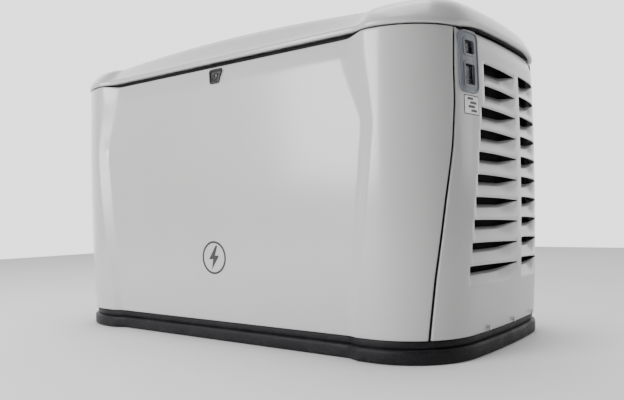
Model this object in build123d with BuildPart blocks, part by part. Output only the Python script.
"""Home standby generator, 1218 x 638 x 732 mm, modelled as an assembly of separate pieces.

Frame: +Z up, +X to the right end (louvres and viewing windows), -Y to the front access panel.
Origin: bottom centre of the whole unit, on the slab that it stands on.
Layout from left to right: exhaust bay, cooling fan and flywheel, V-twin engine, alternator,
then the battery with the controller above it.
"""

from build123d import *
import os
from math import atan, sqrt, tan

os.makedirs("parts", exist_ok=True)

# ---------------------------------------------------------------- driving dimensions, mm
length = 1218.0
depth = 638.0
height = 732.0
rim_z = 668.0  # lower edge of the lid
panel_top = 655.0  # upper face of the panels' top flanges
panel_bottom = 47.0
pad_height = 30.0
seat = 0.3  # gap where one piece rests on another across a body or a curved face

corner_radius = 160.0
end_bow = 24.0  # how far each end bows out over the full depth
column_width = 213.0  # from each end to the recessed middle of the front
recess_depth = 12.0
recess_ramp = 28.0
recess_blend = 50.0

panel_inset = 4.0  # panels stand this far inside the lid's rim
sheet = 2.5  # thickness of panels and lid
flange_width = 22.0
pad_inset = 4.0
tray_inset = 5.0
tray_floor = 36.0

crank_z = 245.0
engine_x = -195.0

half_length = length / 2
recess_half = half_length - column_width
half_depth = depth / 2
panel_skin_y = half_depth - panel_inset  # outer face of a flat panel
panel_inner = panel_inset + sheet


def save(part, name):
    """Labels one finished piece and writes it as its own STEP file."""
    part.part.label = name
    export_step(part.part, f"parts/{name}.step")


end_arc_radius = (half_depth**2 + end_bow**2) / (2 * end_bow)
ramp_angle = atan(recess_depth / recess_ramp)


def end_skin_x(y, inset):
    """X of the bowed right end at a given Y, inset from the lid's rim."""
    return half_length - end_arc_radius + sqrt((end_arc_radius - inset) ** 2 - y**2)


def outline(inset):
    """Plan outline of the unit, inset from the lid's rim: bowed ends and a recessed front."""
    side_y = half_depth - inset
    shoulder = end_skin_x(side_y, inset)
    shift = inset * tan(ramp_angle / 2)
    inner_x = recess_half + shift
    outer_x = recess_half + recess_ramp + shift
    inner_y = side_y - recess_depth
    with BuildSketch(mode=Mode.PRIVATE) as plan:
        with BuildLine():
            Polyline(
                (shoulder, -side_y),
                (outer_x, -side_y),
                (inner_x, -inner_y),
                (-inner_x, -inner_y),
                (-outer_x, -side_y),
                (-shoulder, -side_y),
            )
            ThreePointArc((-shoulder, -side_y), (-half_length + inset, 0), (-shoulder, side_y))
            Line((-shoulder, side_y), (shoulder, side_y))
            ThreePointArc((shoulder, side_y), (half_length - inset, 0), (shoulder, -side_y))
        make_face()
        fillet(
            plan.vertices().filter_by(lambda v: abs(v.X) > shoulder - 1),
            corner_radius - inset,
        )
        fillet(
            plan.vertices().filter_by(lambda v: abs(abs(v.X) - inner_x) < 1 and v.Y < 0),
            recess_blend + inset,
        )
        fillet(
            plan.vertices().filter_by(lambda v: abs(abs(v.X) - outer_x) < 1 and v.Y < 0),
            max(recess_blend - inset, 5),
        )
    return plan.sketch


# ---------------------------------------------------------------- base
anchor_radius = 5.5
anchor_spacing_x = 900.0
anchor_spacing_y = 510.0
pocket_x, pocket_y, pocket_pitch_x, pocket_pitch_y = 100.0, 100.0, 120.0, 120.0
pad_top_skin = 6.0

with BuildPart() as mounting_pad:
    with BuildSketch():
        add(outline(pad_inset))
    extrude(amount=pad_height)
    chamfer(mounting_pad.faces().sort_by(Axis.Z)[-1].edges(), 2.5)
    with BuildSketch():
        with GridLocations(pocket_pitch_x, pocket_pitch_y, 7, 4):
            Rectangle(pocket_x, pocket_y)
    extrude(amount=pad_height - pad_top_skin, mode=Mode.SUBTRACT)
    with BuildSketch():
        with GridLocations(anchor_spacing_x, anchor_spacing_y, 2, 2):
            Circle(anchor_radius)
    extrude(amount=pad_height, mode=Mode.SUBTRACT)
save(mounting_pad, "mounting_pad")

tray_ledge = panel_bottom - seat
upstand_top = 62.0
upstand_gap = 1.0
upstand_width = 3.5
upstand_inset = panel_inner + upstand_gap

with BuildPart() as base_tray:
    with BuildSketch(Plane.XY.offset(pad_height)):
        add(outline(tray_inset))
    extrude(amount=tray_ledge - pad_height)
    with BuildSketch(Plane.XY.offset(tray_ledge)):
        add(outline(upstand_inset))
    extrude(amount=upstand_top - tray_ledge)
    with BuildSketch(Plane.XY.offset(tray_floor)):
        add(outline(upstand_inset + upstand_width))
    extrude(amount=upstand_top - tray_floor, mode=Mode.SUBTRACT)
    with BuildSketch(Plane.XY.offset(pad_height)):
        with GridLocations(anchor_spacing_x, anchor_spacing_y, 2, 2):
            Circle(2 * anchor_radius)
    extrude(amount=tray_floor - pad_height, mode=Mode.SUBTRACT)
save(base_tray, "base_tray")

# ---------------------------------------------------------------- enclosure panels
front_seam_top_y = -213.0
front_seam_foot_y = -266.0
seam_bend_z = 477.0
seam_bend_radius = 900.0
rear_seam_y = 222.0
seam_gap = 4.0

with BuildPart() as enclosure_wall:
    with BuildSketch(Plane.XY.offset(panel_bottom)):
        add(outline(panel_inset))
    extrude(amount=panel_top - panel_bottom)
    with BuildSketch(Plane.XY.offset(panel_bottom)):
        add(outline(panel_inner))
    extrude(amount=panel_top - sheet - panel_bottom, mode=Mode.SUBTRACT)
    with BuildSketch(Plane.XY.offset(panel_top - sheet)):
        add(outline(panel_inset + flange_width))
    extrude(amount=sheet, mode=Mode.SUBTRACT)


def seam_region(front_y, shift):
    """YZ region from front_y back to the front seam, shift mm behind it."""
    with BuildSketch(Plane.YZ, mode=Mode.PRIVATE) as region:
        with BuildLine():
            seam = FilletPolyline(
                (front_seam_foot_y + shift, panel_bottom),
                (front_seam_top_y + shift, seam_bend_z),
                (front_seam_top_y + shift, panel_top),
                radius=seam_bend_radius,
            )
            Polyline(seam @ 1, (front_y, panel_top), (front_y, panel_bottom), seam @ 0)
        make_face()
    return region.sketch


# The lock sits at the top centre of the front, in the recess.
lock_z = 634.5
lock_radius = 8.0
shaft_clearance = 0.06
recess_skin_y = -(half_depth - recess_depth - panel_inset)  # outer face, in the recess

with BuildPart() as front_panel:
    add(enclosure_wall.part)
    extrude(seam_region(-half_depth, 0), amount=length, both=True, mode=Mode.INTERSECT)
    with Locations((0, recess_skin_y, lock_z)):
        Cylinder(lock_radius + 2, 4 * sheet, rotation=(90, 0, 0), mode=Mode.SUBTRACT)
save(front_panel, "front_panel")

# Louvres: two columns of ten on each end panel.
louvre_count = 10
louvre_top_z = 605.0
louvre_pitch = 46.0
louvre_slot = 14.0
louvre_gap_y = (45.0, 75.0)
louvre_rear_y = 205.0
louvre_front_foot_y = -189.0
louvre_front_slant = 0.195
louvre_short = 30.0  # the two slots beside the windows start this much further back


def louvre_spans():
    """(front Y, rear Y, middle Z) of each slot."""
    lowest = louvre_top_z - (louvre_count - 1) * louvre_pitch
    spans = []
    for row in range(louvre_count):
        top = louvre_top_z - row * louvre_pitch
        front = louvre_front_foot_y + louvre_front_slant * (top - lowest)
        if row < 2:
            front = max(front, louvre_front_foot_y + louvre_front_slant * 300 + louvre_short / 2)
        middle = top - louvre_slot / 2
        spans.append((front, louvre_gap_y[0], middle))
        spans.append((louvre_gap_y[1], louvre_rear_y, middle))
    return spans


# Viewing windows in the right end panel, with their bezel.
bezel_y = (-201.0, -139.0)
bezel_z = (543.0, 651.0)
window_y = (-187.0, -155.0)
status_z = (616.0, 646.0)
breaker_z = (554.0, 596.0)
bezel_proud = 3.0

with BuildPart() as side_wall:
    add(enclosure_wall.part)
    extrude(seam_region(-half_depth, seam_gap), amount=length, both=True, mode=Mode.SUBTRACT)
    with BuildSketch(Plane.XY):
        with Locations((0, rear_seam_y + half_depth / 2)):
            Rectangle(2 * length, half_depth)
    extrude(amount=height, mode=Mode.SUBTRACT)
    for front, rear, middle in louvre_spans():
        with Locations((0, (front + rear) / 2, middle)):
            Box(2 * length, rear - front, louvre_slot, mode=Mode.SUBTRACT)

with BuildPart() as left_side_panel:
    add(side_wall.part.solids().sort_by(Axis.X)[0])
save(left_side_panel, "left_side_panel")


def window_pair(grow):
    """Sketch of both windows, each grow mm larger all round."""
    with BuildSketch(Plane.YZ, mode=Mode.PRIVATE) as pair:
        for z_span in (status_z, breaker_z):
            with Locations((sum(window_y) / 2, sum(z_span) / 2)):
                Rectangle(window_y[1] - window_y[0] + 2 * grow, z_span[1] - z_span[0] + 2 * grow)
    return pair.sketch


with BuildPart() as right_side_panel:
    add(side_wall.part.solids().sort_by(Axis.X)[-1])
    extrude(window_pair(4), amount=length, mode=Mode.SUBTRACT)
save(right_side_panel, "right_side_panel")

with BuildPart() as window_bezel:
    with BuildSketch(Plane.XY.offset(bezel_z[0])):
        add(outline(panel_inset - bezel_proud))
        add(outline(panel_inset - 0.2), mode=Mode.SUBTRACT)
    extrude(amount=bezel_z[1] - bezel_z[0])
    with BuildSketch(Plane.YZ):
        with Locations((sum(bezel_y) / 2, sum(bezel_z) / 2)):
            RectangleRounded(bezel_y[1] - bezel_y[0], bezel_z[1] - bezel_z[0], 16)
    extrude(amount=length, mode=Mode.INTERSECT)
    extrude(window_pair(0), amount=length, mode=Mode.SUBTRACT)
save(window_bezel, "window_bezel")

with BuildPart() as window_lenses:
    with BuildSketch(Plane.XY.offset(breaker_z[0])):
        add(outline(panel_inset - 0.8))
        add(outline(panel_inner), mode=Mode.SUBTRACT)
    extrude(amount=status_z[1] - breaker_z[0])
    extrude(window_pair(-seat), amount=length, mode=Mode.INTERSECT)
save(window_lenses, "window_lenses")

# Rear panel: both rear corners, the fuel inlet, the conduit entry and two banks of slots.
fuel_x, fuel_z = 250.0, 120.0
fuel_port_radius = 19.0
conduit_x, conduit_z, conduit_radius = 420.0, 130.0, 17.5
rear_slot = (150.0, 12.0)
rear_slot_pitch = (480.0, 34.0)
rear_slot_centre_z = 400.0

with BuildPart() as rear_panel:
    add(enclosure_wall.part)
    with BuildSketch(Plane.XY):
        with Locations((0, rear_seam_y + 1 + half_depth / 2)):
            Rectangle(2 * length, half_depth)
    extrude(amount=height, mode=Mode.INTERSECT)
    with BuildSketch(Plane.XZ.offset(-half_depth)):
        with Locations((fuel_x, fuel_z)):
            Circle(fuel_port_radius + seat)
        with Locations((conduit_x, conduit_z)):
            Circle(conduit_radius)
        with Locations((0, rear_slot_centre_z)):
            with GridLocations(rear_slot_pitch[0], rear_slot_pitch[1], 2, 6):
                SlotOverall(*rear_slot)
    extrude(amount=30, mode=Mode.SUBTRACT)
save(rear_panel, "rear_panel")

# Button-head screws that hold the two end panels to the base tray.
screw_radius = 5.0
screw_head = 3.0
screw_y = (-110.0, 20.0, 150.0)
screw_z = 55.0

with BuildPart() as panel_screws:
    for side in (-1, 1):
        for y in screw_y:
            skin_x = end_skin_x(abs(y) - screw_radius, panel_inset)
            with Locations((side * (skin_x + screw_head / 2 + seat), y, screw_z)):
                Cylinder(screw_radius, screw_head, rotation=(0, 90, 0))
save(panel_screws, "panel_screws")

# ---------------------------------------------------------------- lid
lid_crown = 40.0  # how much lower the lid's top is at the ends than in the middle
lid_edge_radius = 20.0
liner_thickness = 14.0


def crown_region(top, thickness):
    """XZ region below the lid's crown arc, whose highest point is at top."""
    reach = half_length + 10
    with BuildSketch(Plane.XZ, mode=Mode.PRIVATE) as region:
        with BuildLine():
            ThreePointArc((-reach, top - lid_crown), (0, top), (reach, top - lid_crown))
            Line((reach, top - lid_crown), (reach, top - lid_crown - thickness))
            ThreePointArc(
                (reach, top - lid_crown - thickness),
                (0, top - thickness),
                (-reach, top - lid_crown - thickness),
            )
            Line((-reach, top - lid_crown - thickness), (-reach, top - lid_crown))
        make_face()
    return region.sketch


def lid_form(inset, low):
    """Solid dome of the lid, inset from its outer surface, from low up."""
    with BuildPart(mode=Mode.PRIVATE) as form:
        with BuildSketch(Plane.XY.offset(low)):
            add(outline(inset))
        extrude(amount=height - low)
        section = crown_region(height - inset, height / 2)
        extrude(section, amount=depth, both=True, mode=Mode.INTERSECT)
        top_edges = form.faces().sort_by(Axis.Z)[-1].edges()
        fillet(top_edges, lid_edge_radius - inset)
    return form.part


hinge_x = 380.0
hinge_y = half_depth - 6.8
hinge_z = rim_z - 6.8
knuckle_radius = 5.0
hinge_pin_radius = 2.0
hinge_length = 60.0
knuckle = hinge_length / 3 - 0.4
leaf = 2.0
lid_flange_width = 28.0

with BuildPart() as lid_shell:
    add(lid_form(0, rim_z))
    add(lid_form(sheet, rim_z + sheet), mode=Mode.SUBTRACT)
    with BuildSketch(Plane.XY.offset(rim_z)):
        add(outline(lid_flange_width))
    extrude(amount=sheet, mode=Mode.SUBTRACT)
    with Locations(
        (-hinge_x, hinge_y - knuckle_radius + leaf / 2, rim_z),
        (hinge_x, hinge_y - knuckle_radius + leaf / 2, rim_z),
    ):
        Box(knuckle + 2 * seat, leaf + 2 * seat, 4 * sheet, mode=Mode.SUBTRACT)
save(lid_shell, "lid_shell")

with BuildPart() as lid_liner:
    with BuildSketch(Plane.XY.offset(rim_z)):
        add(outline(60))
    extrude(amount=height)
    liner_top = height - sheet - seat
    liner_section = crown_region(liner_top, liner_thickness)
    extrude(liner_section, amount=depth, both=True, mode=Mode.INTERSECT)
save(lid_liner, "lid_liner")

seal_inset = 14.0
seal_width = 8.0

with BuildPart() as lid_seal:
    with BuildSketch(Plane.XY.offset(panel_top + seat)):
        add(outline(seal_inset))
        add(outline(seal_inset + seal_width), mode=Mode.SUBTRACT)
    extrude(amount=rim_z - panel_top - seat)
save(lid_seal, "lid_seal")

# Hinges: an outer fixed leaf with two knuckles, a lid leaf with one, and a pin.
with BuildPart() as fixed_hinge_leaves:
    for x in (-hinge_x, hinge_x):
        with Locations((x, hinge_y + knuckle_radius - leaf / 2, hinge_z - 18)):
            Box(hinge_length, leaf, 36)
        with Locations((x, hinge_y, hinge_z)):
            Cylinder(knuckle_radius, hinge_length, rotation=(0, 90, 0))
            Box(knuckle + 0.8, 12, 12, mode=Mode.SUBTRACT)
            Cylinder(
                hinge_pin_radius + shaft_clearance,
                hinge_length,
                rotation=(0, 90, 0),
                mode=Mode.SUBTRACT,
            )
save(fixed_hinge_leaves, "fixed_hinge_leaves")

with BuildPart() as lid_hinge_leaves:
    for x in (-hinge_x, hinge_x):
        with Locations((x, hinge_y - knuckle_radius + leaf / 2, hinge_z + 7.5)):
            Box(knuckle, leaf, 15)
        with Locations((x, hinge_y - knuckle_radius + leaf - 8, rim_z + sheet + seat + leaf / 2)):
            Box(knuckle, 16, leaf)
        with Locations((x, hinge_y, hinge_z)):
            Cylinder(knuckle_radius, knuckle, rotation=(0, 90, 0))
            Cylinder(
                hinge_pin_radius + shaft_clearance,
                hinge_length,
                rotation=(0, 90, 0),
                mode=Mode.SUBTRACT,
            )
save(lid_hinge_leaves, "lid_hinge_leaves")

with BuildPart() as hinge_pins:
    with Locations((-hinge_x, hinge_y, hinge_z), (hinge_x, hinge_y, hinge_z)):
        Cylinder(hinge_pin_radius, hinge_length + 2, rotation=(0, 90, 0))
save(hinge_pins, "hinge_pins")

# Lock: a trapezoid bezel, a key cylinder and a cam that turns over the lid's striker.
lock_bezel_top, lock_bezel_foot, lock_bezel_height = 46.0, 28.0, 36.0
lock_bezel_proud = 3.0
cam_front_y = recess_skin_y + flange_width + 3.5  # clear of the front panel's top flange
cam_thickness = 3.0
cam_reach = 17.0
cam_width = 8.0
striker_foot_z = 625.0
striker_x = (9.0, 20.0)

with BuildPart() as lock_bezel:
    with BuildSketch(Plane.XZ.offset(-recess_skin_y)) as lock_outline:
        with BuildLine():
            half_height = lock_bezel_height / 2
            Polyline(
                (-lock_bezel_top / 2, lock_z + half_height),
                (lock_bezel_top / 2, lock_z + half_height),
                (lock_bezel_foot / 2, lock_z - half_height),
                (-lock_bezel_foot / 2, lock_z - half_height),
                close=True,
            )
        make_face()
        fillet(lock_outline.vertices(), 5)
    extrude(amount=lock_bezel_proud)
    with BuildSketch(Plane.XZ.offset(-recess_skin_y)):
        with Locations((0, lock_z)):
            Circle(lock_radius + 2 - seat)
    extrude(amount=-2 * sheet)
    with BuildSketch(Plane.XZ.offset(-recess_skin_y + lock_bezel_proud)):
        with Locations((0, lock_z)):
            Circle(lock_radius + shaft_clearance)
    extrude(amount=-30, mode=Mode.SUBTRACT)
save(lock_bezel, "lock_bezel")

lock_face_y = recess_skin_y - lock_bezel_proud - 0.5

with BuildPart() as lock_cylinder:
    with BuildSketch(Plane.XZ.offset(-lock_face_y)):
        with Locations((0, lock_z)):
            Circle(lock_radius)
    extrude(amount=-(cam_front_y - lock_face_y))
    with BuildSketch(Plane.XZ.offset(-lock_face_y)):
        with Locations((0, lock_z)):
            SlotOverall(9, 1.8, rotation=90)
    extrude(amount=-6, mode=Mode.SUBTRACT)
save(lock_cylinder, "lock_cylinder")

with BuildPart() as lock_cam:
    with BuildSketch(Plane.XZ.offset(-cam_front_y)):
        with Locations((0, lock_z)):
            Circle(cam_width * 0.75)
        with Locations((0, lock_z + cam_reach / 2)):
            Rectangle(cam_width, cam_reach)
    extrude(amount=-cam_thickness)
save(lock_cam, "lock_cam")

striker_y = cam_front_y + cam_thickness + 3.0
striker_arm_y = -(half_depth - recess_depth - lid_flange_width) - 8.0
striker_top = rim_z + 2 * sheet + seat

with BuildPart() as lid_striker:
    with BuildSketch(Plane.YZ.offset(striker_x[0])):
        with BuildLine():
            Polyline(
                (striker_arm_y, striker_top - sheet),
                (striker_arm_y, striker_top),
                (striker_y + sheet, striker_top),
                (striker_y + sheet, striker_foot_z),
                (cam_front_y - 1, striker_foot_z),
                (cam_front_y - 1, striker_foot_z + sheet),
                (striker_y, striker_foot_z + sheet),
                (striker_y, striker_top - sheet),
                close=True,
            )
        make_face()
    extrude(amount=striker_x[1] - striker_x[0])
save(lid_striker, "lid_striker")

# ---------------------------------------------------------------- engine
bank_angle = 45.0
bank_stagger = 14.0
barrel_radius = 50.0
fin_radius = 68.0
fin_pitch = 12.0
fin_thickness = 4.0
barrel_top = 165.0  # distances along a cylinder's axis from the crankshaft
head_top = 225.0
cover_top = 262.0
head_size = (124.0, 110.0)

case_x = (engine_x - 89.0, engine_x + 85.0)
case_half_y = 75.0
case_z = (crank_z - 150.0, crank_z + 85.0)
foot_z = 75.0
foot_half_y = 112.0
housing_x = (case_x[0] - 6.0, case_x[0])
housing_radius = 165.0
alternator_radius = 128.0
alternator_x = (case_x[1] + 10.0, case_x[1] + 230.0)
main_journal = 26.0
fan_journal = 20.0

gear_module = 2.0
ring_teeth = 120
pinion_teeth = 12
ring_x = (housing_x[0] - 32.0, housing_x[0] - 16.0)
starter_angle = -25.5  # a tooth gap of the ring faces the pinion here
pinion_x = (ring_x[1] + 4.0, ring_x[1] + 14.0)
pinion_shaft_radius = 5.0
mesh_distance = gear_module * (ring_teeth + pinion_teeth) / 2
starter_centre = Vector(mesh_distance, 0).rotate(Axis.Z, starter_angle)
starter_y = starter_centre.X
starter_z = crank_z + starter_centre.Y
starter_radius = 35.0

dipstick_x, dipstick_y = case_x[1] - 16.0, -60.0
dipstick_tube_top = case_z[1] + 140.0
dipstick_foot = case_z[1] - 130.0
dipstick_radius = 3.5

isolator_radius = 18.0
isolator_x = (engine_x - 5.0, alternator_x[1] + 32.0)
isolator_y = (-94.0, 94.0)
isolator_spots = [(x, y) for x in isolator_x for y in isolator_y]


def bank(side, distance):
    """Plane across a cylinder's axis; side is -1 for the front bank and 1 for the rear one."""
    origin = Vector(engine_x + side * bank_stagger, 0, crank_z)
    along = Vector(0, side, 0).rotate(Axis.X, side * bank_angle)
    return Plane(origin + along * distance, x_dir=(1, 0, 0), z_dir=along)


def across(x):
    """Plane across the crankshaft at x, seen along +X."""
    return Plane((x, 0, crank_z), x_dir=(0, 1, 0), z_dir=(1, 0, 0))


def tooth_ring(teeth, root, tip, root_width, tip_width, start):
    """Sketch of a toothed disc about the origin, with its first tooth at the angle start."""
    with BuildSketch(mode=Mode.PRIVATE) as gear:
        Circle(root)
        with PolarLocations(0, teeth, start):
            with BuildLine():
                Polyline(
                    (root - 1, -root_width / 2),
                    (tip, -tip_width / 2),
                    (tip, tip_width / 2),
                    (root - 1, root_width / 2),
                    close=True,
                )
            make_face()
    return gear.sketch


with BuildPart() as crankcase:
    with BuildSketch(across(case_x[0])):
        with Locations((0, (sum(case_z)) / 2 - crank_z)):
            RectangleRounded(2 * case_half_y, case_z[1] - case_z[0], 22)
    extrude(amount=case_x[1] - case_x[0])
    with Locations((sum(case_x) / 2, 0, foot_z + 5)):
        Box(case_x[1] - case_x[0] - 20, 2 * foot_half_y, 10)
    with Locations((sum(case_x) / 2, 0, (foot_z + case_z[0]) / 2 + 10)):
        Box(case_x[1] - case_x[0] - 40, 2 * case_half_y - 30, case_z[0] - foot_z + 10)
    for side in (-1, 1):
        with BuildSketch(bank(side, barrel_radius)):
            Circle(barrel_radius)
        extrude(amount=barrel_top - barrel_radius)
        for distance in (98 + step * fin_pitch for step in range(6)):
            with BuildSketch(bank(side, distance)):
                Circle(fin_radius)
            extrude(amount=fin_thickness)
    with BuildSketch(across(housing_x[0])):
        Circle(housing_radius)
    extrude(amount=housing_x[1] - housing_x[0])
    with BuildSketch(across(case_x[1])):
        Circle(alternator_radius)
        Circle(alternator_radius - 30, mode=Mode.SUBTRACT)
    extrude(amount=alternator_x[0] - case_x[1])
    with BuildSketch(across(case_x[1] - 12)):
        Circle(alternator_radius)
    extrude(amount=12)
    with BuildSketch(Plane.XY.offset(case_z[1] - 20)):
        with Locations((dipstick_x, dipstick_y)):
            Circle(9)
    extrude(amount=dipstick_tube_top - case_z[1] + 20)
    with BuildSketch(across(housing_x[0] - 1)):
        Circle(main_journal + shaft_clearance)
        with Locations((starter_y, starter_z - crank_z)):
            Circle(18)
    extrude(amount=9, mode=Mode.SUBTRACT)
    with BuildSketch(across(housing_x[0] - 1)):
        Circle(main_journal + shaft_clearance)
    extrude(amount=alternator_x[0] - housing_x[0] + 2, mode=Mode.SUBTRACT)
    with BuildSketch(across(housing_x[0] - 1)):
        with PolarLocations(132, 2, 50, 80):
            Rectangle(40, 70)
    extrude(amount=1 + housing_x[1] - housing_x[0], mode=Mode.SUBTRACT)
    with BuildSketch(Plane.XY.offset(dipstick_foot - 5)):
        with Locations((dipstick_x, dipstick_y)):
            Circle(dipstick_radius + seat)
    extrude(amount=height, mode=Mode.SUBTRACT)
save(crankcase, "crankcase")

plug_radius = 7.0
plug_reach = 46.0


def head(side):
    """Finned cylinder head with an exhaust port on its left face and a plug hole outside."""
    plane = bank(side, barrel_top)
    with BuildPart() as part:
        with BuildSketch(plane):
            RectangleRounded(head_size[0] - 16, head_size[1], 10)
        extrude(amount=head_top - barrel_top)
        with BuildSketch(plane):
            with Locations((-head_size[0] / 4 - 4, 0)):
                Rectangle(head_size[0] / 2 - 8, 54)
        extrude(amount=head_top - barrel_top)
        for distance in (barrel_top + 6 + step * fin_pitch for step in range(4)):
            with BuildSketch(bank(side, distance)):
                RectangleRounded(head_size[0], head_size[1], 10)
            extrude(amount=fin_thickness)
        outer = plane.offset((head_top - barrel_top) / 2)
        plug = Plane(
            outer.origin + outer.y_dir * side * head_size[1] / 2,
            x_dir=(1, 0, 0),
            z_dir=outer.y_dir * side,
        )
        with BuildSketch(plug):
            Circle(plug_radius + 0.05)
        extrude(amount=-20, mode=Mode.SUBTRACT)
    return part, plug


for side, place in ((-1, "front"), (1, "rear")):
    save(head(side)[0], f"cylinder_head_{place}")
    with BuildPart() as rocker_cover:
        with BuildSketch(bank(side, head_top)):
            RectangleRounded(112, 98, 12)
        extrude(amount=5)
        with BuildSketch(bank(side, head_top + 5)):
            RectangleRounded(96, 82, 14)
        extrude(amount=cover_top - head_top - 5, taper=6)
        fillet(rocker_cover.faces().sort_by(Axis(bank(side, 0).origin, bank(side, 0).z_dir))[-1].edges(), 6)
        with BuildSketch(bank(side, head_top + 5)):
            with GridLocations(102, 88, 2, 2):
                Circle(4)
        extrude(amount=4)
    save(rocker_cover, f"rocker_cover_{place}")

with BuildPart() as spark_plugs:
    for side in (-1, 1):
        plug_plane = head(side)[1]
        with BuildSketch(plug_plane.offset(-18)):
            Circle(plug_radius)
        extrude(amount=18 + seat)
        with BuildSketch(plug_plane.offset(seat)):
            RegularPolygon(11, 6)
        extrude(amount=8)
        with BuildSketch(plug_plane.offset(seat + 8)):
            Circle(9)
        extrude(amount=plug_reach - 8, taper=3)
save(spark_plugs, "spark_plugs")

filter_x, filter_z = case_x[1] - 50.0, crank_z - 50.0
filter_radius, filter_length = 33.0, 88.0

with BuildPart() as oil_filter:
    with BuildSketch(Plane.XZ.offset(case_half_y)):
        with Locations((filter_x, filter_z)):
            Circle(filter_radius)
    extrude(amount=filter_length)
    fillet(oil_filter.faces().sort_by(Axis.Y)[0].edges(), 8)
    with BuildSketch(Plane.XZ.offset(case_half_y + filter_length)):
        with Locations((filter_x, filter_z)):
            RegularPolygon(12, 6)
    extrude(amount=8)
save(oil_filter, "oil_filter")

with BuildPart() as dipstick:
    with BuildSketch(Plane.XY.offset(dipstick_foot)):
        with Locations((dipstick_x, dipstick_y)):
            Circle(dipstick_radius)
    extrude(amount=dipstick_tube_top - dipstick_foot + seat)
    with BuildSketch(Plane.XY.offset(dipstick_tube_top + seat)):
        with Locations((dipstick_x, dipstick_y)):
            Circle(11)
    extrude(amount=8)
    with BuildSketch(Plane.YZ.offset(dipstick_x)):
        with Locations((dipstick_y, dipstick_tube_top + 20)):
            Circle(14)
            Circle(9, mode=Mode.SUBTRACT)
    extrude(amount=2.5, both=True)
save(dipstick, "dipstick")

# ---------------------------------------------------------------- starter
with BuildPart() as starter_motor:
    nose = (starter_y, starter_z - crank_z)
    with BuildSketch(across(case_x[0])):
        with Locations(nose):
            Circle(starter_radius + 4)
    extrude(amount=10)
    with BuildSketch(across(case_x[0] + 10)):
        with Locations(nose):
            Circle(starter_radius)
    extrude(amount=144)
    fillet(starter_motor.faces().sort_by(Axis.X)[-1].edges(), 5)
    with BuildSketch(across(case_x[0] + 20)):
        with Locations((nose[0] + 26, nose[1] + 38)):
            Circle(19)
        with Locations((nose[0] + 18, nose[1] + 22)):
            Rectangle(22, 30, rotation=35)
    extrude(amount=80)
    with BuildSketch(across(case_x[0])):
        with Locations(nose):
            Circle(pinion_shaft_radius + shaft_clearance)
    extrude(amount=60, mode=Mode.SUBTRACT)
save(starter_motor, "starter_motor")

pinion_root = gear_module * (pinion_teeth / 2 - 1.25)
pinion_tip = gear_module * (pinion_teeth / 2 + 1)

with BuildPart() as starter_pinion:
    with BuildSketch(across(pinion_x[0])):
        with Locations((starter_y, starter_z - crank_z)):
            add(tooth_ring(pinion_teeth, pinion_root, pinion_tip, 3.9, 1.6, 180 + starter_angle))
    extrude(amount=pinion_x[1] - pinion_x[0])
    with BuildSketch(across(pinion_x[1])):
        with Locations((starter_y, starter_z - crank_z)):
            Circle(pinion_shaft_radius)
    extrude(amount=50)
save(starter_pinion, "starter_pinion")

# ---------------------------------------------------------------- rotating group
rotor_x = (alternator_x[0] + 16.0, alternator_x[1] - 16.0)
rotor_radius = 85.0
air_gap = 1.5
bearing_x = (alternator_x[1] + 20.0, alternator_x[1] + 38.0)
bearing_radius = 36.0
tail_journal = 17.5
fan_x = (ring_x[0] - 66.0, ring_x[0] - 8.0)
shaft_end_x = fan_x[0] - 4.0
fan_radius = 142.0
fan_blades = 14

with BuildPart() as crankshaft:
    with BuildSketch(across(shaft_end_x)):
        Circle(fan_journal)
    extrude(amount=ring_x[1] - shaft_end_x)
    with BuildSketch(across(ring_x[1])):
        Circle(main_journal)
    extrude(amount=alternator_x[0] + 6 - ring_x[1])
    with BuildSketch(across(alternator_x[0] + 6)):
        Circle(fan_journal)
    extrude(amount=bearing_x[0] - alternator_x[0] - 6)
    with BuildSketch(across(bearing_x[0])):
        Circle(tail_journal)
    extrude(amount=bearing_x[1] - bearing_x[0] + 4)
save(crankshaft, "crankshaft")

ring_root = gear_module * (ring_teeth / 2 - 1.25)
ring_tip = gear_module * (ring_teeth / 2 + 1)

with BuildPart() as flywheel:
    with BuildSketch(across(ring_x[0])):
        half_tooth = 180 / ring_teeth
        add(tooth_ring(ring_teeth, ring_root, ring_tip, 3.7, 1.6, starter_angle + half_tooth))
    extrude(amount=ring_x[1] - ring_x[0])
    with BuildSketch(across(ring_x[0] - 1)):
        Circle(ring_root - 14)
        Circle(48, mode=Mode.SUBTRACT)
    extrude(amount=7, mode=Mode.SUBTRACT)
    with BuildSketch(across(ring_x[0] - 1)):
        Circle(fan_journal + shaft_clearance)
    extrude(amount=30, mode=Mode.SUBTRACT)
save(flywheel, "flywheel")

with BuildPart() as cooling_fan:
    with BuildSketch(across(fan_x[1])):
        Circle(fan_radius)
    extrude(amount=6)
    with BuildSketch(across(fan_x[0] + 4)):
        Circle(44)
    extrude(amount=fan_x[1] - fan_x[0] - 4)
    with BuildSketch(across(fan_x[0])):
        with PolarLocations(0, fan_blades):
            with BuildLine():
                ThreePointArc((78, 0), (112, 10), (fan_radius, 34))
                offset(amount=1.8, side=Side.BOTH)
            make_face()
    extrude(amount=fan_x[1] - fan_x[0])
    with BuildSketch(across(fan_x[0])):
        Circle(fan_journal + shaft_clearance)
    extrude(amount=80, mode=Mode.SUBTRACT)
save(cooling_fan, "cooling_fan")

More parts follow.
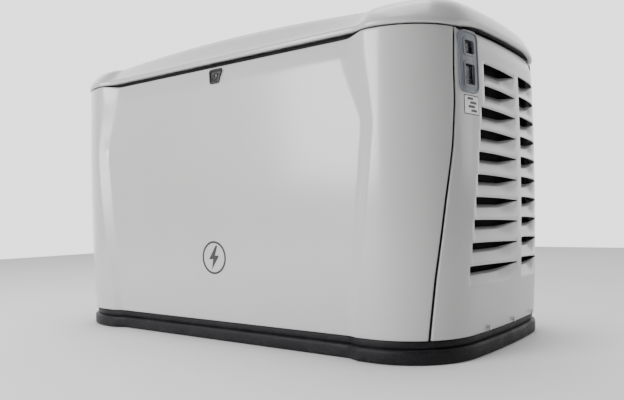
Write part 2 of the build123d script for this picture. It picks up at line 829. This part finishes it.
with BuildPart() as rotor:
    with BuildSketch(across(rotor_x[0])):
        Circle(rotor_radius)
        with PolarLocations(rotor_radius, 12):
            Rectangle(36, 7, mode=Mode.SUBTRACT)
    extrude(amount=rotor_x[1] - rotor_x[0])
    with BuildSketch(across(rotor_x[0] + 12)):
        Circle(rotor_radius - 6)
    extrude(amount=rotor_x[1] - rotor_x[0] - 24)
    with BuildSketch(across(rotor_x[1])):
        Circle(40)
    extrude(amount=12)
    with BuildSketch(across(rotor_x[0] - 1)):
        Circle(fan_journal + shaft_clearance)
    extrude(amount=240, mode=Mode.SUBTRACT)
save(rotor, "rotor")

# ---------------------------------------------------------------- alternator
bell_x = (alternator_x[1], alternator_x[1] + 70.0)
stator_slots = 24

with BuildPart() as stator:
    with BuildSketch(across(alternator_x[0])):
        Circle(alternator_radius)
        Circle(rotor_radius + air_gap, mode=Mode.SUBTRACT)
        with PolarLocations(rotor_radius + air_gap + 7, stator_slots):
            Rectangle(18, 8, mode=Mode.SUBTRACT)
    extrude(amount=alternator_x[1] - alternator_x[0])
save(stator, "stator")

with BuildPart() as alternator_end_bell:
    with BuildSketch(across(bell_x[0])):
        Circle(alternator_radius)
    extrude(amount=bell_x[1] - bell_x[0])
    fillet(alternator_end_bell.faces().sort_by(Axis.X)[-1].edges(), 16)
    with BuildSketch(across(bell_x[0])):
        Circle(alternator_radius - 10)
        Circle(bearing_radius + 10, mode=Mode.SUBTRACT)
    extrude(amount=bell_x[1] - bell_x[0] - 10, mode=Mode.SUBTRACT)
    with BuildSketch(across(bell_x[0])):
        Circle(bearing_radius + 10)
    extrude(amount=bearing_x[0] - bell_x[0] - 2, mode=Mode.SUBTRACT)
    with BuildSketch(across(bell_x[0])):
        Circle(bearing_radius + shaft_clearance)
    extrude(amount=bearing_x[1] - bell_x[0], mode=Mode.SUBTRACT)
    with BuildSketch(across(bell_x[0])):
        Circle(tail_journal + 3)
    extrude(amount=bearing_x[1] - bell_x[0] + 8, mode=Mode.SUBTRACT)
    with BuildSketch(across(bell_x[1] - 12)):
        with PolarLocations(82, 8, 22.5):
            SlotOverall(44, 18, rotation=90)
    extrude(amount=14, mode=Mode.SUBTRACT)
    with BuildSketch(across(isolator_x[1] - 14)):
        with Locations((0, foot_z + 5 - crank_z)):
            Rectangle(2 * foot_half_y, 10)
        for side in (-1, 1):
            with Locations((side * 74, (foot_z - 90 - crank_z) / 2)):
                Rectangle(12, crank_z - 90 - foot_z)
    extrude(amount=28)
    with BuildSketch(across(bell_x[0] - 1)):
        Circle(alternator_radius - 5)
    extrude(amount=bell_x[1] - bell_x[0] - 9, mode=Mode.SUBTRACT)
    with BuildSketch(across(bearing_x[0] - 2)):
        Circle(bearing_radius + 10)
        Circle(bearing_radius + shaft_clearance, mode=Mode.SUBTRACT)
    extrude(amount=bell_x[1] - 9 - bearing_x[0] + 2)
    with BuildSketch(across(bearing_x[1])):
        Circle(bearing_radius + 2)
        Circle(tail_journal + 8, mode=Mode.SUBTRACT)
    extrude(amount=bell_x[1] - bearing_x[1] - 4)
save(alternator_end_bell, "alternator_end_bell")

with BuildPart() as shaft_bearing:
    with BuildSketch(across(bearing_x[0])):
        Circle(bearing_radius)
        Circle(tail_journal + shaft_clearance, mode=Mode.SUBTRACT)
    extrude(amount=bearing_x[1] - bearing_x[0])
    with BuildSketch(across(bearing_x[0])):
        Circle(bearing_radius - 6)
        Circle(tail_journal + 5, mode=Mode.SUBTRACT)
    extrude(amount=1.5, mode=Mode.SUBTRACT)
save(shaft_bearing, "shaft_bearing")

with BuildPart() as isolators:
    with BuildSketch(Plane.XY.offset(tray_floor)):
        with Locations(*isolator_spots):
            Circle(isolator_radius)
    extrude(amount=foot_z - tray_floor)
    with BuildSketch(Plane.XY.offset((tray_floor + foot_z) / 2 - 5)):
        with Locations(*isolator_spots):
            Circle(isolator_radius + 1)
            Circle(isolator_radius - 4, mode=Mode.SUBTRACT)
    extrude(amount=10, mode=Mode.SUBTRACT)
save(isolators, "isolators")

# ---------------------------------------------------------------- intake, air filter and fuel
manifold_z = crank_z + 201.0
port_radius = 17.0
riser_top = manifold_z + 32.0
throttle_top = riser_top + 52.0
throttle_radius = 25.0
filter_box_x = (engine_x - 143.0, engine_x + 43.0)
filter_box_half_y = 110.0
filter_box_top = throttle_top + 58.0
filter_cover_top = filter_box_top + 30.0

port = bank(1, (barrel_top + head_top) / 2)
port_face = port.origin - port.y_dir * head_size[1] / 2
port_run = manifold_z - port_face.Z
intake_path = [
    (engine_x, -port_face.Y, port_face.Z),
    (engine_x, -port_face.Y + port_run, manifold_z),
    (engine_x, port_face.Y - port_run, manifold_z),
    (engine_x, port_face.Y, port_face.Z),
]

with BuildPart() as intake_manifold:
    with BuildLine():
        runner = FilletPolyline(*intake_path, radius=25)
    for side in (-1, 1):
        face = bank(side, (barrel_top + head_top) / 2)
        mouth = Plane(
            (engine_x, side * port_face.Y, port_face.Z),
            x_dir=(1, 0, 0),
            z_dir=face.y_dir * -side,
        )
        with BuildSketch(mouth):
            RectangleRounded(58, 48, 8)
        extrude(amount=8)
    with BuildSketch(Plane(runner @ 0, x_dir=(1, 0, 0), z_dir=runner % 0)):
        Circle(port_radius)
    sweep(path=runner)
    with BuildSketch(Plane.XY.offset(manifold_z)):
        with Locations((engine_x, 0)):
            Circle(port_radius)
    extrude(amount=riser_top - manifold_z)
    with BuildSketch(Plane.XY.offset(riser_top - 8)):
        with Locations((engine_x, 0)):
            RectangleRounded(66, 66, 10)
    extrude(amount=8)
save(intake_manifold, "intake_manifold")

with BuildPart() as throttle_body:
    with BuildSketch(Plane.XY.offset(riser_top)):
        with Locations((engine_x, 0)):
            RectangleRounded(66, 66, 10)
    extrude(amount=8)
    with BuildSketch(Plane.XY.offset(riser_top)):
        with Locations((engine_x, 0)):
            Circle(throttle_radius)
    extrude(amount=throttle_top - riser_top)
    with BuildSketch(Plane.XZ.offset(throttle_radius - 4)):
        with Locations((engine_x, (riser_top + throttle_top) / 2 + 3)):
            RectangleRounded(34, 30, 4)
    extrude(amount=26)
    with BuildSketch(Plane.XY.offset(riser_top)):
        with Locations((engine_x, 0)):
            Circle(port_radius)
    extrude(amount=throttle_top - riser_top, mode=Mode.SUBTRACT)
save(throttle_body, "throttle_body")

filter_box_x_mid = sum(filter_box_x) / 2
filter_box_size = (filter_box_x[1] - filter_box_x[0], 2 * filter_box_half_y)

with BuildPart() as air_filter_box:
    with BuildSketch(Plane.XY.offset(throttle_top)):
        with Locations((filter_box_x_mid, 0)):
            RectangleRounded(*filter_box_size, 18)
    extrude(amount=filter_box_top - throttle_top)
    with BuildSketch(Plane.XY.offset(filter_box_top - 8)):
        with Locations((filter_box_x_mid, 0)):
            RectangleRounded(filter_box_size[0] + 10, filter_box_size[1] + 10, 22)
    extrude(amount=8)
save(air_filter_box, "air_filter_box")

with BuildPart() as air_filter_cover:
    with BuildSketch(Plane.XY.offset(filter_box_top)):
        with Locations((filter_box_x_mid, 0)):
            RectangleRounded(filter_box_size[0] + 10, filter_box_size[1] + 10, 22)
    extrude(amount=8)
    with BuildSketch(Plane.XY.offset(filter_box_top + 8)):
        with Locations((filter_box_x_mid, 0)):
            RectangleRounded(*filter_box_size, 18)
    extrude(amount=filter_cover_top - filter_box_top - 8, taper=12)
    fillet(air_filter_cover.faces().sort_by(Axis.Z)[-1].edges(), 5)
    with BuildSketch(Plane.XY.offset(filter_cover_top - 3)):
        with Locations((filter_box_x_mid, 0)):
            with GridLocations(0, 30, 1, 5):
                SlotOverall(120, 9)
    extrude(amount=3, mode=Mode.SUBTRACT)
save(air_filter_cover, "air_filter_cover")

regulator_y = (half_depth - 123.0, half_depth - 67.0)
regulator_z = 175.0
regulator_radius = 52.0
hose_y = regulator_y[0] + 26.0
hose_z = riser_top + 28.0
hose_radius = 8.0
hose_bend = 70.0
inlet_bore = 12.0
inlet_length = 30.0
inlet_end_y = half_depth - 7.0

with BuildPart() as fuel_regulator:
    with BuildSketch(Plane.XZ.offset(-regulator_y[0])):
        with Locations((fuel_x, regulator_z)):
            Circle(regulator_radius)
    extrude(amount=-(regulator_y[1] - regulator_y[0]))
    chamfer(fuel_regulator.edges().filter_by(GeomType.CIRCLE), 5)
    with BuildSketch(Plane.XZ.offset(-sum(regulator_y) / 2)):
        with Locations((fuel_x, regulator_z)):
            Circle(regulator_radius + 5)
    extrude(amount=4, both=True)
    with BuildSketch(Plane.XZ.offset(-regulator_y[0] - 12)):
        with Locations((fuel_x, fuel_z + 20)):
            Rectangle(2 * fuel_port_radius, 60)
    extrude(amount=-40)
    with BuildSketch(Plane.XZ.offset(-regulator_y[0] - 12)):
        with Locations((fuel_x, fuel_z)):
            Circle(fuel_port_radius)
    extrude(amount=-(inlet_end_y - regulator_y[0] - 12))
    with BuildSketch(Plane.XY.offset(tray_floor)):
        with Locations((fuel_x, regulator_y[0] + 22)):
            Rectangle(70, 34)
    extrude(amount=6)
    with BuildSketch(Plane.XY.offset(tray_floor)):
        with Locations((fuel_x, regulator_y[0] + 22)):
            Rectangle(22, 16)
    extrude(amount=fuel_z - tray_floor)
    with BuildSketch(Plane.XY.offset(regulator_z)):
        with Locations((fuel_x, hose_y)):
            Circle(hose_radius + 2)
    extrude(amount=regulator_radius + 14)
    with BuildSketch(Plane.XZ.offset(-inlet_end_y)):
        with Locations((fuel_x, fuel_z)):
            Circle(inlet_bore)
    extrude(amount=inlet_length, mode=Mode.SUBTRACT)
save(fuel_regulator, "fuel_regulator")

hose_start_z = regulator_z + regulator_radius + 14 + seat

with BuildPart() as fuel_hose:
    with BuildLine():
        hose_route = FilletPolyline(
            (fuel_x, hose_y, hose_start_z),
            (fuel_x, hose_y, hose_z),
            (engine_x, hose_y, hose_z),
            (engine_x, throttle_radius + seat, hose_z),
            radius=hose_bend,
        )
    with BuildSketch(Plane.XY.offset(hose_start_z)):
        with Locations((fuel_x, hose_y)):
            Circle(hose_radius)
    sweep(path=hose_route)
save(fuel_hose, "fuel_hose")

# ---------------------------------------------------------------- exhaust bay
divider_x = 185.0 - half_length
muffler_x = (33.0 - half_length, 157.0 - half_length)
muffler_half_y = 196.0
muffler_z = (crank_z + 55.0, crank_z + 221.0)
pipe_radius = 15.0
header_thickness = 6.0
pipe_y = (barrel_top + head_top) / 2 * 0.7071
pipe_z = crank_z + pipe_y
wall_gap = 3.0

with BuildPart() as divider_panel:
    with BuildSketch(Plane.XY.offset(upstand_top + 1)):
        add(outline(panel_inner + wall_gap))
        with Locations((divider_x, 0)):
            Rectangle(sheet, depth, mode=Mode.INTERSECT)
    extrude(amount=panel_top - sheet - 1 - upstand_top - 1)
    with BuildSketch(Plane.XY.offset(tray_floor)):
        add(outline(upstand_inset + upstand_width + 1))
        with Locations((divider_x, 0)):
            Rectangle(sheet, depth, mode=Mode.INTERSECT)
        with Locations((divider_x + 10, 0)):
            Rectangle(24, 400)
    extrude(amount=2)
    with BuildSketch(Plane.XY.offset(tray_floor)):
        add(outline(upstand_inset + upstand_width + 1))
        with Locations((divider_x, 0)):
            Rectangle(sheet, depth, mode=Mode.INTERSECT)
    extrude(amount=upstand_top + 1 - tray_floor)
    with BuildSketch(Plane.YZ.offset(divider_x - 5)):
        with Locations((-pipe_y, pipe_z), (pipe_y, pipe_z)):
            Circle(pipe_radius + 5)
        with Locations((0, 580)):
            with GridLocations(0, 26, 1, 3):
                SlotOverall(300, 14)
    extrude(amount=10, mode=Mode.SUBTRACT)
save(divider_panel, "divider_panel")

with BuildPart() as exhaust_header:
    for side in (-1, 1):
        start_x = engine_x + side * bank_stagger - head_size[0] / 2
        with BuildSketch(Plane.YZ.offset(start_x)):
            with Locations((side * pipe_y, pipe_z)):
                Circle(pipe_radius)
        extrude(amount=muffler_x[1] - start_x)
        with BuildSketch(Plane.YZ.offset(start_x)):
            with Locations((side * pipe_y, pipe_z)):
                RectangleRounded(48, 40, 8, rotation=-side * 45)
        extrude(amount=-header_thickness)
    with BuildSketch(Plane.YZ.offset(muffler_x[1])):
        with Locations((0, pipe_z)):
            RectangleRounded(2 * pipe_y + 60, 52, 10)
    extrude(amount=header_thickness)
save(exhaust_header, "exhaust_header")

with BuildPart() as muffler:
    with BuildSketch(Plane.XZ.offset(-muffler_half_y)):
        with Locations((sum(muffler_x) / 2, sum(muffler_z) / 2)):
            RectangleRounded(muffler_x[1] - muffler_x[0], muffler_z[1] - muffler_z[0], 50)
    extrude(amount=2 * muffler_half_y)
    fillet(muffler.faces().filter_by(Axis.Y).edges(), 8)
    for y in (-110, 110):
        with Locations((sum(muffler_x) / 2, y, (tray_floor + muffler_z[0] + 20) / 2)):
            Box(60, 5, muffler_z[0] + 20 - tray_floor)
        with Locations((sum(muffler_x) / 2, y, tray_floor + 2.5)):
            Box(60, 40, 5)
    with BuildSketch(Plane.XY.offset(muffler_z[0] + 40)):
        with Locations((sum(muffler_x) / 2, 0)):
            Circle(20)
    extrude(amount=tray_floor + 80 - muffler_z[0] - 40)
    with BuildSketch(Plane.XY.offset(tray_floor + 80)):
        with Locations((sum(muffler_x) / 2, 0)):
            Circle(18)
    extrude(amount=120, mode=Mode.SUBTRACT)
save(muffler, "muffler")

# ---------------------------------------------------------------- battery
battery_x = (half_length - 359.0, half_length - 151.0)
battery_y = (-260.0, -87.0)
battery_top = tray_floor + 175.0
strap_x = (battery_x[0] + 90.0, battery_x[0] + 116.0)
post_radius = 9.0
post_height = 16.0
post_y = battery_y[1] - 26
post_x = (battery_x[0] + 30, battery_x[1] - 30)
cable_radius = 6.0
cable_bend = 22.0
cable_low_z = 62.0
cable_high_z = 290.0
battery_mid = (sum(battery_x) / 2, sum(battery_y) / 2)
battery_size = (battery_x[1] - battery_x[0], battery_y[1] - battery_y[0])

with BuildPart() as battery_case:
    with BuildSketch(Plane.XY.offset(tray_floor)):
        with Locations(battery_mid):
            RectangleRounded(*battery_size, 6)
    extrude(amount=battery_top - tray_floor)
    with BuildSketch(Plane.XY.offset(battery_top - 38)):
        with Locations(battery_mid):
            RectangleRounded(*battery_size, 6)
            RectangleRounded(battery_size[0] - 3, battery_size[1] - 3, 5, mode=Mode.SUBTRACT)
    extrude(amount=3, mode=Mode.SUBTRACT)
    with BuildSketch(Plane.XY.offset(battery_top)):
        with Locations((battery_mid[0], battery_y[0] + 50)):
            with GridLocations(130, 0, 2, 1):
                RectangleRounded(62, 30, 6)
    extrude(amount=4)
save(battery_case, "battery_case")

with BuildPart() as battery_terminals:
    with BuildSketch(Plane.XY.offset(battery_top)):
        with Locations((post_x[0], post_y), (post_x[1], post_y)):
            Circle(post_radius + 4)
    extrude(amount=5)
    with BuildSketch(Plane.XY.offset(battery_top)):
        with Locations((post_x[0], post_y), (post_x[1], post_y)):
            Circle(post_radius)
    extrude(amount=post_height, taper=3)
save(battery_terminals, "battery_terminals")

with BuildPart() as battery_strap:
    with BuildSketch(Plane.YZ.offset(strap_x[0])):
        with Locations((battery_mid[1], (tray_floor + battery_top) / 2 + 1)):
            Rectangle(battery_size[1] + 2 * seat + 4, battery_top - tray_floor + 2)
        with Locations((battery_mid[1], tray_floor + 1)):
            Rectangle(battery_size[1] + 40, 2)
        with Locations((battery_mid[1], (tray_floor + battery_top) / 2)):
            Rectangle(battery_size[1] + 2 * seat, battery_top - tray_floor, mode=Mode.SUBTRACT)
    extrude(amount=strap_x[1] - strap_x[0])
save(battery_strap, "battery_strap")


def cable(points):
    """Round cable along straight runs joined by wide bends."""
    with BuildPart(mode=Mode.PRIVATE) as wire:
        with BuildLine():
            route = FilletPolyline(*points, radius=cable_bend)
        with BuildSketch(Plane(route @ 0, z_dir=route % 0)):
            Circle(cable_radius)
        sweep(path=route)
    return wire


cable_start_z = battery_top + post_height + seat
bell_foot = (isolator_x[1], isolator_y[0] - 6, foot_z + 10 + seat)
cable_turn_x = battery_x[0] - 32.0
starter_end_x = case_x[0] + 154 + seat
cable_starter_y = starter_y + 14

save(
    cable([
        (post_x[0], post_y, cable_start_z),
        (post_x[0], post_y, cable_high_z),
        (cable_turn_x, post_y, cable_high_z),
        (cable_turn_x, post_y, 2 * foot_z),
        (bell_foot[0], bell_foot[1], 2 * foot_z),
        bell_foot,
    ]),
    "battery_cable_negative",
)
save(
    cable([
        (post_x[1], post_y, cable_start_z),
        (post_x[1], post_y, cable_high_z),
        (post_x[1], battery_y[1] + 40, cable_high_z),
        (post_x[1], battery_y[1] + 40, cable_low_z),
        (cable_turn_x, battery_y[1] + 40, cable_low_z),
        (cable_turn_x, cable_starter_y, cable_low_z),
        (alternator_x[0] + 30, cable_starter_y, cable_low_z),
        (alternator_x[0] + 30, cable_starter_y, starter_z),
        (starter_end_x, cable_starter_y, starter_z),
    ]),
    "battery_cable_positive",
)

# ---------------------------------------------------------------- controls
stand_x = battery_x[1] + 16.0
stand_half_y = 170.0
shelf_z = 598.0
shelf_x = half_length - 37.0
shelf_y = (-212.0, -44.0)
console_x = (half_length - 169.0, half_length - 33.0)
console_y = (-210.0, -46.0)
console_top = shelf_z + 46.0
breaker_x = (half_length - 113.0, half_length - 35.0)
breaker_body_y = (window_y[0] - 19.0, window_y[1] + 21.0)
breaker_body_z = (534.0, shelf_z - 2)
toggle_pivot = (breaker_x[1] - 6.0, window_y[0] + 18.0, sum(breaker_z) / 2)
toggle_tilt = 20.0
key_travel = 1.5
key_size = (26.0, 15.0)
key_y = console_y[0] + 32.0
key_x = (console_x[0] + 30.0, console_x[0] + 68.0, console_x[0] + 106.0)
display_size = (96.0, 50.0)
display_centre = (console_x[0] + 68.0, console_y[1] - 54.0)

with BuildPart() as control_stand:
    with Locations((stand_x, 0, (tray_floor + shelf_z) / 2)):
        Box(2, 2 * stand_half_y, shelf_z - tray_floor)
    with Locations((stand_x + 14, 0, tray_floor + 1)):
        Box(30, 2 * stand_half_y, 2)
    with BuildSketch(Plane.YZ.offset(stand_x - 5)):
        with Locations((30, 320)):
            with GridLocations(0, 40, 1, 9):
                SlotOverall(220, 18)
    extrude(amount=10, mode=Mode.SUBTRACT)
save(control_stand, "control_stand")

with BuildPart() as control_shelf:
    with Locations(((stand_x + shelf_x) / 2 + 0.5, sum(shelf_y) / 2, shelf_z - 1)):
        Box(shelf_x - stand_x - 1, shelf_y[1] - shelf_y[0], 2)
    with Locations((stand_x + 2, sum(shelf_y) / 2, shelf_z - 11)):
        Box(2, shelf_y[1] - shelf_y[0], 22)
save(control_shelf, "control_shelf")

console_mid = (sum(console_x) / 2, sum(console_y) / 2)
console_size = (console_x[1] - console_x[0], console_y[1] - console_y[0])

with BuildPart() as controller_housing:
    with BuildSketch(Plane.XY.offset(shelf_z)):
        with Locations(console_mid):
            RectangleRounded(*console_size, 8)
    extrude(amount=console_top - shelf_z)
    fillet(controller_housing.faces().sort_by(Axis.Z)[-1].edges(), 3)
    with BuildSketch(Plane.XY.offset(console_top)):
        with Locations(display_centre):
            RectangleRounded(display_size[0] + 2 * seat, display_size[1] + 2 * seat, 3)
    extrude(amount=-2, mode=Mode.SUBTRACT)
    with BuildSketch(Plane.XY.offset(console_top)):
        for x in key_x:
            with Locations((x, key_y)):
                RectangleRounded(key_size[0] + 2 * seat, key_size[1] + 2 * seat, 3)
    extrude(amount=-6, mode=Mode.SUBTRACT)
save(controller_housing, "controller_housing")

with BuildPart() as display_lens:
    with BuildSketch(Plane.XY.offset(console_top - 2)):
        with Locations(display_centre):
            RectangleRounded(*display_size, 3)
    extrude(amount=2.6)
save(display_lens, "display_lens")

for x, duty in zip(key_x, ("auto", "off", "manual")):
    with BuildPart() as key:
        with BuildSketch(Plane.XY.offset(console_top - 6 + key_travel + seat)):
            with Locations((x, key_y)):
                RectangleRounded(*key_size, 3)
        extrude(amount=8)
        chamfer(key.faces().sort_by(Axis.Z)[-1].edges(), 0.8)
    save(key, f"key_{duty}")

with BuildPart() as main_breaker:
    with Locations(
        (sum(breaker_x) / 2, sum(breaker_body_y) / 2, sum(breaker_body_z) / 2),
    ):
        Box(
            breaker_x[1] - breaker_x[0],
            breaker_body_y[1] - breaker_body_y[0],
            breaker_body_z[1] - breaker_body_z[0],
        )
    chamfer(main_breaker.faces().sort_by(Axis.X)[-1].edges(), 2)
    with Locations(toggle_pivot):
        Box(40, 14, 34, mode=Mode.SUBTRACT)
save(main_breaker, "main_breaker")

with BuildPart() as breaker_toggle:
    with Locations(toggle_pivot):
        Cylinder(6, 13, rotation=(90, 0, 0))
    with BuildSketch(Plane.XZ.offset(-toggle_pivot[1])):
        with Locations(Pos(toggle_pivot[0], toggle_pivot[2]) * Rot(0, 0, toggle_tilt)):
            with Locations((9, 0)):
                RectangleRounded(18, 7, 2)
    extrude(amount=5, both=True)
save(breaker_toggle, "breaker_toggle")
